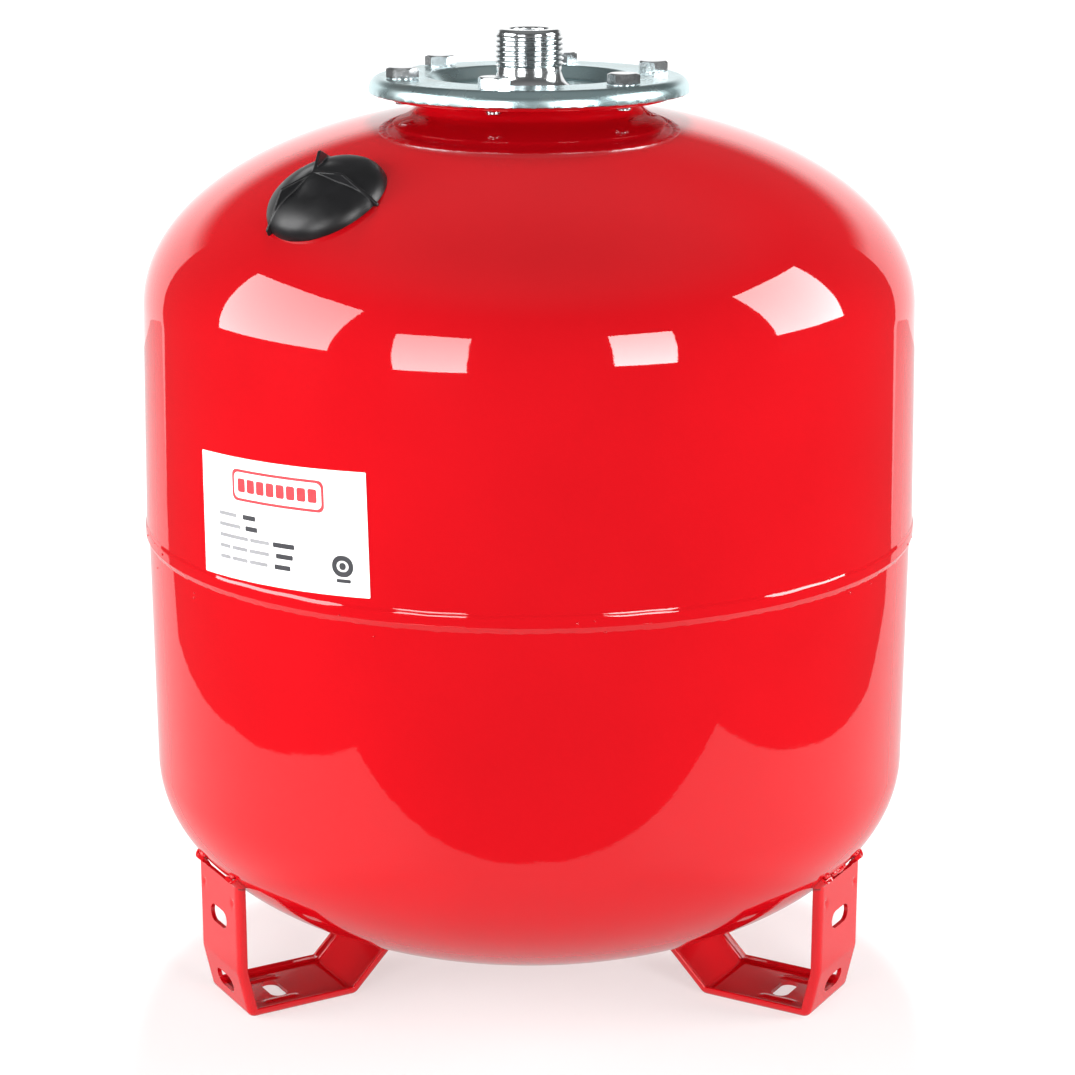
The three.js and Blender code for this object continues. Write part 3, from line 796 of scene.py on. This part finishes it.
def build_bolts():
    """M8 hexagon bolts: chamfered heads on a thin washer face, and threaded shanks."""
    top = BOLT_HEAD_HEIGHT
    seat_drop = 0.3
    flat_top = BOLT_FLATS / 2 * 0.94
    corner = BOLT_FLATS / 2 / math.cos(math.pi / 6)
    shank_ends = [(BOLT_SHANK, -BOLT_LENGTH), (BOLT_SHANK, BOLT_SHANK_TOP)]
    shank = [(0, -BOLT_LENGTH)] + split_long(shank_ends, 0.16, closed=False)
    washer = [(BOLT_SHANK, -seat_drop), (BOLT_WASHER, -seat_drop), (BOLT_WASHER, 0)]
    side = [(corner, 0), (corner, top * 0.5), (corner, top)]
    crown = [(r, top) for r in np.linspace(corner, flat_top, 8)[1:]]
    outline = shank + washer + side + crown + [(0, top)]
    cut_thread = threaded(BOLT_SHANK_TOP, -BOLT_LENGTH, BOLT_SHANK, 0.72, BOLT_PITCH, 0.9)

    def shape(radius, z, angle):
        head = z >= 0
        hexagon = np.minimum(radius, hexagon_radius(angle, BOLT_FLATS))
        chamfer = top - np.maximum(hexagon - flat_top, 0) * math.tan(math.radians(30))
        thread = cut_thread(radius, z, angle)[0]
        return np.where(head, hexagon, thread), np.where(head, np.minimum(z, chamfer), z)

    for number, (azimuth, turn) in enumerate(zip(bolt_azimuths(), BOLT_TURNS), 1):
        seat = Matrix.Translation(around(azimuth, BOLT_CIRCLE, FLANGE_TOP_Z + seat_drop) * MM)
        bolt = add_solid(f"bolt_{number}", revolve(outline, 72, shape), seat @ turned(azimuth + turn))
        add_piece(bolt, BOLT_ZINC, f"flange_bolt_{number}", sharp_degrees=22)


# --- Air valve and its cap ---

def build_valve():
    place = valve_place()
    low, high = VALVE_STEM_Z
    collar_top = 2.3
    shank = [(VALVE_BORE, -13), (VALVE_SHANK, -13), (VALVE_SHANK, 0)]
    collar = rounded([(VALVE_COLLAR, 0), (VALVE_COLLAR, collar_top, 0.5), (3.5, collar_top)], 4, False)
    stem = split_long([(VALVE_STEM, low), (VALVE_STEM, high)], 0.1, closed=False)
    mouth = rounded([(3.1, high), (VALVE_BORE, high, 0.3), (VALVE_BORE, 6)], 3, False)
    outline = shank + collar + stem + mouth
    shape = threaded(high, low, VALVE_STEM, 0.45, VALVE_PITCH, 0.5)
    body = add_solid("valve_stem", revolve(outline, 72, shape), place)
    add_piece(body, NICKEL, "valve_body")

    core = rounded([
        (0.95, -9, 0.1), (2, -9, 0.3), (2, 5.6), (1.7, 6), (1.7, 7.2, 0.2), (0.95, 7.2, 0.15),
    ], 3)
    add_piece(add_solid("valve_insert", revolve(core, 48), place), BRASS, "valve_core")

    pin = [(0, -11), (0.45, -11), (0.6, -10.7), (0.6, 6.9), (0.5, 7.25), (0.25, 7.4), (0, 7.4)]
    plunger = add_solid("valve_plunger", revolve(pin, 32), place)
    add_piece(plunger, BRASS, "valve_pin", "pin")


def cap_outline(inset, steps):
    """Outline of the cap's dome, drawn in from its outside by inset, from the rim to the top."""
    angle = np.linspace(0, math.pi / 2, steps + 1)
    r = (CAP_RADIUS - inset) * np.maximum(np.cos(angle), 0) ** (2 / CAP_POWER)
    z = (CAP_HEIGHT - inset) * np.sin(angle) ** (2 / CAP_POWER)
    r[-1] = 0
    rise, reach = CAP_BOSS
    z += rise * ease(1 - r / reach)
    return list(zip(r.tolist(), z.tolist()))


def slab(outline, thickness):
    """A plate of the given thickness from an outline in the X-Z plane."""
    count = len(outline)
    points = [(x, y, z) for y in (-thickness / 2, thickness / 2) for x, z in outline]
    faces = [list(range(count)), list(range(2 * count - 1, count - 1, -1))]
    for i in range(count):
        j = (i + 1) % count
        faces.append([j, i, i + count, j + count])
    return points, faces


def build_cap():
    """The snap-on cap: a shell with three grip fins, cut to the curve of the tank's dome."""
    shell = [(CAP_RADIUS, CAP_SKIRT_Z)] + cap_outline(0, 60) + cap_outline(CAP_WALL, 60)[::-1]
    shell.append((CAP_RADIUS - CAP_WALL, CAP_SKIRT_Z))
    parts = [add_solid("cap", revolve(split_long(shell, 1), 160))]
    inner, outer = CAP_SOCKET_RADII
    top = CAP_HEIGHT - 0.7
    socket = [(inner, CAP_SOCKET_Z), (outer, CAP_SOCKET_Z), (outer, top), (inner, top)]
    parts.append(add_solid("socket", revolve(socket, 64)))
    fin = rounded([
        (0, 7), (10, 10), (CAP_RADIUS - 2.2, 3), (CAP_RADIUS - 1, CAP_SKIRT_Z),
        (CAP_FIN_REACH, CAP_SKIRT_Z), (CAP_FIN_REACH, 2.4, 0.8), (16.4, CAP_FIN_TOP_Z, 2),
        (0, CAP_FIN_TOP_Z),
    ], 5)
    for number in range(3):
        turn = turned(CAP_FIN_TURN - 90 + 120 * number)
        parts.append(add_solid("fin", slab(fin, CAP_FIN_THICKNESS), turn))
    cap = join(parts)
    remesh = cap.modifiers.new("union", "REMESH")
    remesh.mode = "VOXEL"
    remesh.voxel_size = 0.32 * MM
    soften = cap.modifiers.new("soften", "SMOOTH")
    soften.factor = 0.5
    soften.iterations = 4
    settle(cap)
    cap.data.transform(valve_place() @ Matrix.Translation((0, 0, -CAP_RIM_DROP * MM)))
    dome = upper_shell_side(-0.15)
    tank = revolve([(0, SEAM_Z)] + dome + [(0, NECK_TOP_Z)], SHELL_SIDES)
    carve(cap, add_solid("tank_form", tank))
    add_piece(cap, PLASTIC, "valve_cover", "cover", 50)


# --- Feet ---

def foot_corners():
    """Middle line of a foot's sheet in its (radius, z) plane, with its bend radii."""
    middle = FOOT_SHEET / 2
    foot_r = LEG_RADIUS - middle
    return [
        (foot_r + EAR_REACH, EAR_BEND_Z + EAR_REACH * math.tan(EAR_SLOPE), 0),
        (foot_r, EAR_BEND_Z, 2),
        (foot_r, KNEE_Z, 12),
        (BASE_OUTER - middle, middle, 3),
        (BASE_INNER, middle, 4),
        (BASE_INNER - INNER_RISE, middle + INNER_RISE, 0),
    ]


def offset_path(corners, offset, step, bend_steps=8):
    """Points of a bent path moved towards its right-hand side. Every offset has as many points."""
    places = [Vector(corner[:2]) for corner in corners]
    stretches = []
    for i, here in enumerate(places):
        ways = []
        if i > 0:
            ways.append((here - places[i - 1]).normalized())
        if i < len(places) - 1:
            ways.append((places[i + 1] - here).normalized())
        right = [Vector((way.y, -way.x)) for way in ways]
        if len(ways) == 1:
            stretches.append([here + right[0] * offset])
            continue
        turn = ways[0].cross(ways[1])
        side = 1 if turn < 0 else -1
        middle = (right[0] + right[1]).normalized()
        half = math.pi / 2 - ways[0].angle(ways[1]) / 2
        vertex = here + middle * (offset / math.sin(half))
        bend = max(corners[i][2] - side * offset, 0.25)
        centre = vertex + middle * side * (bend / math.sin(half))
        start = -right[0] * side * bend
        sweep = -side * ways[0].angle(ways[1])
        arc = []
        for k in range(bend_steps + 1):
            arc.append(centre + Matrix.Rotation(sweep * k / bend_steps, 2) @ start)
        stretches.append(arc)
    points = []
    for i, arc in enumerate(stretches):
        points += arc
        if i < len(stretches) - 1:
            parts = max(2, round((places[i + 1] - places[i]).length / step))
            start, end = arc[-1], stretches[i + 1][0]
            points += [start.lerp(end, k / parts) for k in range(1, parts)]
    return points


def foot_section():
    """Cross-section of a foot: a sheet whose two edges are turned up into low flanges."""
    half = FOOT_WIDTH / 2
    inner = half - FOOT_SHEET
    top = FOOT_FLANGE
    corners = [
        (-half, -1, 3.4), (half, -1, 3.4), (half, top, 0.6), (inner + 0.4, top, 0.6),
        (inner, 1, 1.4), (-inner, 1, 1.4), (-inner - 0.4, top, 0.6), (-half, top, 0.6),
    ]
    return split_long(rounded(corners, 6), 0.85)


def pressed(across, radius, z):
    """How far the foot's sheet is pressed inwards at a place: two dimples and two short beads."""
    depth = 0
    for side in (-1, 1):
        dimple = math.hypot(across - side * 16, z - 57)
        if radius > LEG_RADIUS - 6:
            depth += 0.9 * math.exp(-(dimple / 1.3) ** 2)
        if z < 6:
            along = max(abs(radius - 143) - 7, 0)
            depth += 0.7 * math.exp(-(math.hypot(across - side * 12, along) / 1.2) ** 2)
    return depth


def foot_sheet():
    """Points and faces of the foot at azimuth 0, before its slots and its top are cut."""
    section = foot_section()
    corners = foot_corners()
    paths = [offset_path(corners, offset, 1.3) for _, offset in section]
    middle = offset_path(corners, 0, 1.3)
    stations = len(middle)
    points = []
    for i in range(stations):
        ahead = (middle[min(i + 1, stations - 1)] - middle[max(i - 1, 0)]).normalized()
        inwards = Vector((ahead.y, -ahead.x))
        for (across, _), path in zip(section, paths):
            place = path[i] + inwards * pressed(across, path[i].x, path[i].y)
            points.append((across, -place.x, place.y))
    count = len(section)
    faces = grid_faces(stations, count, False, True)
    faces.append(list(range(count - 1, -1, -1)))
    faces.append(list(range((stations - 1) * count, stations * count)))
    return points, faces


def prism(outline, axis_matrix, depth):
    """A bar with an outline in its X-Y plane, centred on the origin and placed by a matrix."""
    count = len(outline)
    points = [Vector((x, y, z)) for z in (-depth / 2, depth / 2) for x, y in outline]
    faces = [list(range(count - 1, -1, -1)), list(range(count, 2 * count))]
    for i in range(count):
        j = (i + 1) % count
        faces.append([i, j, j + count, i + count])
    return [tuple(axis_matrix @ point) for point in points], faces


def foot_tools():
    """What is cut from a foot's sheet: three slots, the gap between its ears, and two corners."""
    x, y = SLOT_LENGTH / 2, SLOT_WIDTH / 2
    bend = y - 0.01
    slot = rounded([(-x, -y, bend), (x, -y, bend), (x, y, bend), (-x, y, bend)], 10)
    upright = Matrix.Rotation(math.pi / 2, 4, "X")
    tools = [prism(slot, Matrix.Translation((0, -BASE_SLOT_RADIUS, 0)), 14)]
    for z in LEG_SLOTS_Z:
        tools.append(prism(slot, Matrix.Translation((0, -LEG_RADIUS, z)) @ upright, 18))
    ear_inner, ear_outer = EAR_SIDES
    shoulder = EAR_SHOULDER_Z
    top = 95
    edge = FOOT_WIDTH / 2
    gap = rounded([
        (-ear_inner, shoulder, 1.5), (ear_inner, shoulder, 1.5), (ear_inner, top), (-ear_inner, top),
    ])
    corner = rounded([
        (edge + 9, shoulder - 1), (edge + 0.2, shoulder - 1, 0.6), (ear_outer, shoulder + 1, 1.5),
        (ear_outer, top), (edge + 9, top),
    ])
    mirrored = [(-x, z) for x, z in corner[::-1]]
    for outline in (gap, corner, mirrored):
        tools.append(prism(outline, Matrix.Translation((0, -LEG_RADIUS, 0)) @ upright, 24))
    return tools


def dome_bead(start, end, seed, size):
    """A weld bead on the lower dome between two places (across, distance from the axis)."""
    centres, across = [], []
    for t in np.linspace(0, 1, 26):
        x = start[0] + (end[0] - start[0]) * t
        y = start[1] + (end[1] - start[1]) * t
        radius = math.hypot(x, y)
        centres.append((x, -y, dome_height(LOWER_DOME, radius) - 0.2))
        slope = dome_slope(LOWER_DOME, radius)
        out = math.sin(slope)
        across.append((x / radius * out, -y / radius * out, -math.cos(slope)))
    return bead(centres, across, 12, size, 0.5, seed)


def build_feet():
    sheet = add_solid("foot", foot_sheet())
    for tool in foot_tools():
        carve(sheet, add_solid("tool", tool))
    tank = revolve(lower_shell_side(-0.05) + [(0, SPIGOT_TOP_Z)], SHELL_SIDES)
    carve(sheet, add_solid("tank_form", tank))
    ear_y = LEG_RADIUS + 0.2
    for place, azimuth in FOOT_AZIMUTHS.items():
        seed = azimuth % 7
        beads = [
            dome_bead((-19.5, ear_y), (-13.5, ear_y), seed, (0.9, 1.5)),
            dome_bead((13.5, ear_y), (19.5, ear_y), seed + 2, (0.9, 1.5)),
            dome_bead((-20, BASE_WELD_RADIUS), (20, BASE_WELD_RADIUS), seed + 4, (0.9, 1.5)),
        ]
        if place == "right":
            beads.append(dome_bead((-10, ear_y - 0.6), (5, ear_y - 0.6), seed + 5, (1.5, 2.2)))
        solids = [add_solid("weld", shape, turned(azimuth)) for shape in beads]
        welds = join(solids)
        welds.name = f"foot_{place}_welds"
        add_piece(welds, PAINT, None, sharp_degrees=80)
        piece = bpy.data.objects.new(f"leg_{place}", sheet.data.copy())
        piece.data.transform(turned(azimuth))
        bpy.context.collection.objects.link(piece)
        add_piece(piece, PAINT, f"foot_{place}")
    bpy.data.objects.remove(sheet)


# --- Label ---

def on_wall(u, v, lift):
    """The point on the tank's wall at a place on the label, lifted off the wall."""
    across = u * math.cos(LABEL_TURN) - v * math.sin(LABEL_TURN)
    z = LABEL_CENTRE_Z + u * math.sin(LABEL_TURN) + v * math.cos(LABEL_TURN)
    angle = math.radians(LABEL_AZIMUTH) + across / JOGGLE_RADIUS
    radius = float(wall_radius(z)) + float(sheet_waves(angle % TAU, z)) + lift
    return around(math.degrees(angle), radius, z)


def label_sheet(name, width, height, centre, corner, low, high, hole=None):
    """A rectangle with rounded corners on the label, as a film between two lifts off the wall."""
    half_w, half_h = width / 2, height / 2

    def ring(inset):
        w, h, r = half_w - inset, half_h - inset, max(corner - inset, 0.05)
        points = rounded([(-w, -h, r), (w, -h, r), (w, h, r), (-w, h, r)], 6)
        return split_long(points, 2.2)

    outer = ring(0)
    count = len(outer)
    if hole:
        inner_line = [(x * (half_w - hole) / half_w, y * (half_h - hole) / half_h) for x, y in outer]
        loops = [outer, inner_line]
    else:
        shrink = np.linspace(1, 0.02, 16)
        loops = [[(x * s, y * s) for x, y in outer] for s in shrink]
    points, faces = [], []
    for lift in (high, low):
        for loop in loops:
            points += [on_wall(centre[0] + x, centre[1] + y, lift) for x, y in loop]
    rings = len(loops)
    for i in range(rings - 1):
        for k in range(count):
            n = (k + 1) % count
            a, b = i * count, (i + 1) * count
            faces.append([a + k, a + n, b + n, b + k])
            a, b = a + rings * count, b + rings * count
            faces.append([a + n, a + k, b + k, b + n])
    bottom = rings * count
    last = (rings - 1) * count
    for k in range(count):
        n = (k + 1) % count
        faces.append([bottom + k, bottom + n, n, k])
        if hole:
            faces.append([last + k, last + n, bottom + last + n, bottom + last + k])
    if not hole:
        faces.append([last + k for k in range(count)])
        faces.append([bottom + last + k for k in range(count - 1, -1, -1)])
    return add_solid(name, (points, faces))


def build_label():
    width, height = LABEL_SIZE
    film_low, film_high = 0.08, 0.30
    ink_high = 0.36

    def ink(name, marks, material):
        parts = [
            label_sheet(name, w, h, centre, corner, film_high - 0.05, ink_high, hole)
            for w, h, centre, corner, hole in marks
        ]
        add_piece(join(parts), material, None)

    base = label_sheet("sticker", width, height, (0, 0), 0.4, film_low, film_high)
    add_piece(base, FILM_WHITE, "label")
    left = -width / 2
    mark_centre = (0.6, 15.2)
    frame_marks = [(52.5, 14, mark_centre, 3, 1.25)]
    block_count, block_pitch = 8, 5.8
    for number in range(block_count):
        u = mark_centre[0] + (number - (block_count - 1) / 2) * block_pitch
        frame_marks.append((4.6, 6.0, (u, mark_centre[1]), 1.0, None))
    ink("sticker_frame", frame_marks, FILM_RED)

    # Each row: the widths of its grey words, where its dark word starts, and that one's width.
    rows = [
        ((12,), 28, 8), ((14.5,), 29.5, 7.5), ((19, 11.5), 46, 12), ((7, 10, 12), 47.5, 9.5),
        ((7, 10, 11), 46.5, 9),
    ]
    text_left, first_row, row_pitch, word_gap = 12, 1.2, 4.85, 1.3
    grey, dark = [], []
    for number, (words, dark_start, dark_width) in enumerate(rows):
        v = first_row - row_pitch * number
        start = left + text_left
        for word in words:
            grey.append((word, 1.7, (start + word / 2, v), 0.5, None))
            start += word + word_gap
        dark.append((dark_width, 2.2, (left + dark_start + dark_width / 2, v), 0.6, None))
    ink("sticker_grey", grey, FILM_GREY)
    badge = (left + 82.4, -14.2)
    dark.append((10.4, 9.4, badge, 4.6, 2.3))
    dark.append((3.2, 3.2, badge, 1.5, None))
    dark.append((7, 1.6, (badge[0] + 0.3, badge[1] - 6.4), 0.6, None))
    ink("sticker_dark", dark, FILM_DARK)


# --- Studio and camera ---

def paper(name, albedo, glow):
    """Plain paper that glows a little of its own."""
    material = Material(name, Roughness=0.9)
    material.shader.inputs["Specular IOR Level"].default_value = 0.0
    material.shader.inputs["Base Color"].default_value = (albedo, albedo, albedo, 1)
    material.shader.inputs["Emission Color"].default_value = (1, 0.99, 0.985, 1)
    material.shader.inputs["Emission Strength"].default_value = glow
    return material.data


def flat_sheet(name, corners, z):
    """A horizontal sheet from (x, y, radius) corners in metres."""
    outline = rounded(corners, 12)
    mesh = bpy.data.meshes.new(name)
    mesh.from_pydata([(x, y, z) for x, y in outline], [], [list(range(len(outline)))])
    sheet = bpy.data.objects.new(name, mesh)
    bpy.context.collection.objects.link(sheet)
    return sheet


def build_floor():
    """A wide floor for the camera, and the smaller table top that shows in the paint."""
    reach = 1.1
    floor = flat_sheet("floor", [
        (-reach, -reach, 1.0), (reach, -reach, 1.0), (reach, reach, 1.0), (-reach, reach, 1.0),
    ], -0.0005)
    floor.data.materials.append(paper("floor_paper", 0.42, 0.57))
    floor.visible_glossy = False
    table = flat_sheet("table", [
        (-0.42, -0.43), (0.02, -0.45), (0.48, -0.42), (0.53, -0.15), (0.56, 0.17), (0.64, 0.38),
        (1.6, 1.5), (-1.6, 1.5), (-0.60, 0.30), (-0.56, -0.05), (-0.49, -0.28),
    ], 0)
    table.data.materials.append(paper("table_paper", 0.2, 0.46))
    table.visible_camera = False
    table.visible_shadow = False
    table.visible_diffuse = False


def build_world():
    """White to the camera; to all else, a dim room, paler overhead, with a backdrop behind."""
    world = bpy.data.worlds.new("studio")
    bpy.context.scene.world = world
    world.use_nodes = True
    nodes, links = world.node_tree.nodes, world.node_tree.links

    def math_node(operation, first, second=None):
        node = nodes.new("ShaderNodeMath")
        node.operation = operation
        for socket, value in zip(node.inputs, (first, second)):
            if isinstance(value, (int, float)):
                socket.default_value = value
            elif value is not None:
                links.new(value, socket)
        return node.outputs[0]

    def soft_edge(value, start, end):
        node = nodes.new("ShaderNodeMapRange")
        node.interpolation_type = "SMOOTHSTEP"
        node.inputs["From Min"].default_value = start
        node.inputs["From Max"].default_value = end
        links.new(value, node.inputs["Value"])
        return node.outputs["Result"]

    direction = nodes.new("ShaderNodeSeparateXYZ")
    links.new(nodes.new("ShaderNodeTexCoord").outputs["Generated"], direction.inputs[0])
    x, y, z = direction.outputs
    behind = soft_edge(math_node("SUBTRACT", y, math_node("ABSOLUTE", x)), -0.005, 0.01)
    low = math_node("SUBTRACT", 1, soft_edge(z, 0.24, 0.40))
    backdrop = math_node("MULTIPLY", behind, low)
    room = math_node("MULTIPLY_ADD", backdrop, 1.15)
    overhead = math_node("MULTIPLY_ADD", soft_edge(z, 0.6, 0.95), 0.15)
    overhead.node.inputs[2].default_value = 0.12
    links.new(overhead, room.node.inputs[2])
    to_camera = nodes.new("ShaderNodeLightPath").outputs["Is Camera Ray"]
    strength = math_node("MAXIMUM", room, to_camera)
    links.new(strength, nodes["Background"].inputs["Strength"])
    nodes["Background"].inputs["Color"].default_value = (1, 1, 1, 1)


def softbox(name, azimuth, elevation, distance, size, radiance, gloss=True, diffuse=True):
    """An area light that faces the tank, a little dimmer towards its top.

    Its power follows from how bright its face is. gloss and diffuse say whether it shows in
    reflections and whether it lights surfaces.
    """
    light = bpy.data.lights.new(name, "AREA")
    light.shape = "RECTANGLE"
    light.size, light.size_y = size
    light.energy = 4 * size[0] * size[1] * radiance
    light.use_nodes = True
    nodes, links = light.node_tree.nodes, light.node_tree.links
    place = nodes.new("ShaderNodeSeparateXYZ")
    links.new(nodes.new("ShaderNodeNewGeometry").outputs["Parametric"], place.inputs[0])
    fade = nodes.new("ShaderNodeMapRange")
    fade.inputs["To Min"].default_value = 1.15
    fade.inputs["To Max"].default_value = 0.75
    links.new(place.outputs["Y"], fade.inputs["Value"])
    links.new(fade.outputs["Result"], nodes["Emission"].inputs["Strength"])
    target = Vector((0, 0, 0.3))
    turn, lift = math.radians(azimuth), math.radians(elevation)
    way = Vector((math.sin(turn) * math.cos(lift), -math.cos(turn) * math.cos(lift), math.sin(lift)))
    obj = bpy.data.objects.new(name, light)
    obj.location = target + way * distance
    obj.rotation_mode = "QUATERNION"
    obj.rotation_quaternion = way.to_track_quat("Z", "Y")
    obj.visible_glossy = gloss
    obj.visible_diffuse = diffuse
    bpy.context.collection.objects.link(obj)


def build_lights():
    """Two windows, two softboxes that show in the paint with a lower fill for each, a backlight."""
    softbox("softbox_left", -76, 19.5, 1.6, (1.20, 0.98), 7.0, diffuse=False)
    softbox("softbox_right", 85.5, 23, 1.6, (0.80, 0.88), 9.5, diffuse=False)
    softbox("window_left", -27, 7, 2.3, (0.85, 1.20), 8.5)
    softbox("window_right", 32, 10, 2.3, (0.73, 1.04), 12.0)
    softbox("fill_left", -76, 8, 1.6, (1.20, 0.98), 7.5, gloss=False)
    softbox("fill_right", 85.5, 8, 1.6, (0.80, 0.88), 10.5, gloss=False)
    softbox("backlight", 180, 47, 2.4, (0.5, 0.5), 95.0, gloss=False)


def build_camera():
    data = bpy.data.cameras.new("camera")
    data.lens = CAMERA_LENS
    data.sensor_width = 36
    camera = bpy.data.objects.new("camera", data)
    camera.location = CAMERA_PLACE
    camera.rotation_euler = (math.pi / 2 - CAMERA_TILT, 0, 0)
    bpy.context.collection.objects.link(camera)
    bpy.context.scene.camera = camera


# --- Scene ---

build_tank()
build_seam()
build_membrane()
build_neck_ring()
build_flange()
build_nipple()
build_bolts()
build_valve()
build_cap()
build_feet()
build_label()
build_floor()
build_world()
build_lights()
build_camera()
bpy.context.scene.view_settings.view_transform = "Standard"
